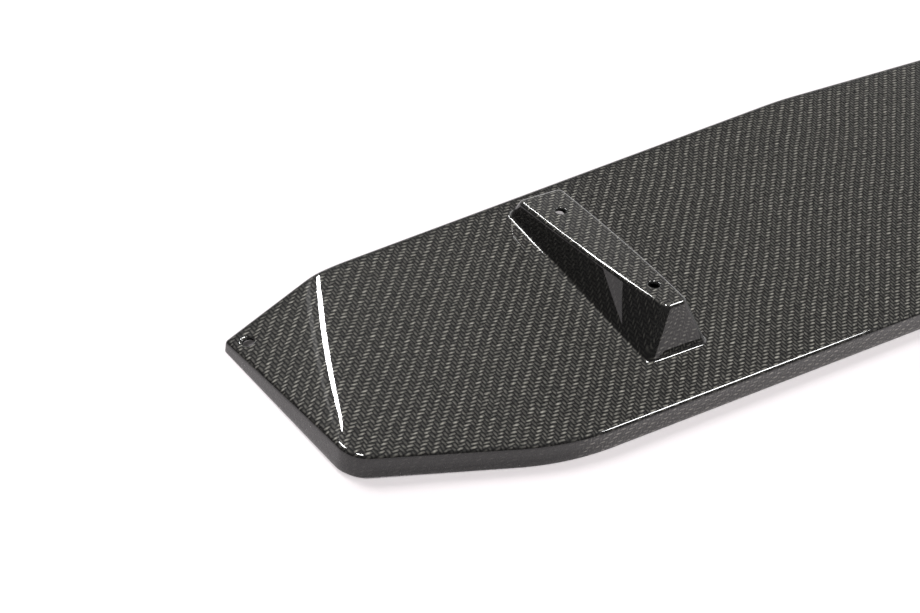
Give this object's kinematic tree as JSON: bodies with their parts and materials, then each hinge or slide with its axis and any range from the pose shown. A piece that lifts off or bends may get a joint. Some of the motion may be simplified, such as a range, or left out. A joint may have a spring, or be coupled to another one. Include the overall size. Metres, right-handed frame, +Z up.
{
  "type": "rear bumper valance",
  "caption": "Wide shallow carbon-fibre valance panel with turned-down edges, folded-down end corners and raised hollow mounting bosses that bolt up under a rear bumper.",
  "frame": {"origin": "middle of the part's width and depth, at the height of its lowest edge", "axes": "+X across the car, +Y towards the front of the car, +Z up; the boss tops lie level and the panel falls towards -Y"},
  "size_m": [1.0808, 0.1874, 0.0432],
  "materials": {
    "carbon_laminate": "clear-coated carbon-fibre twill"
  },
  "bodies": {
    "root": {"valance_panel": "carbon_laminate"}
  },
  "joints": []
}
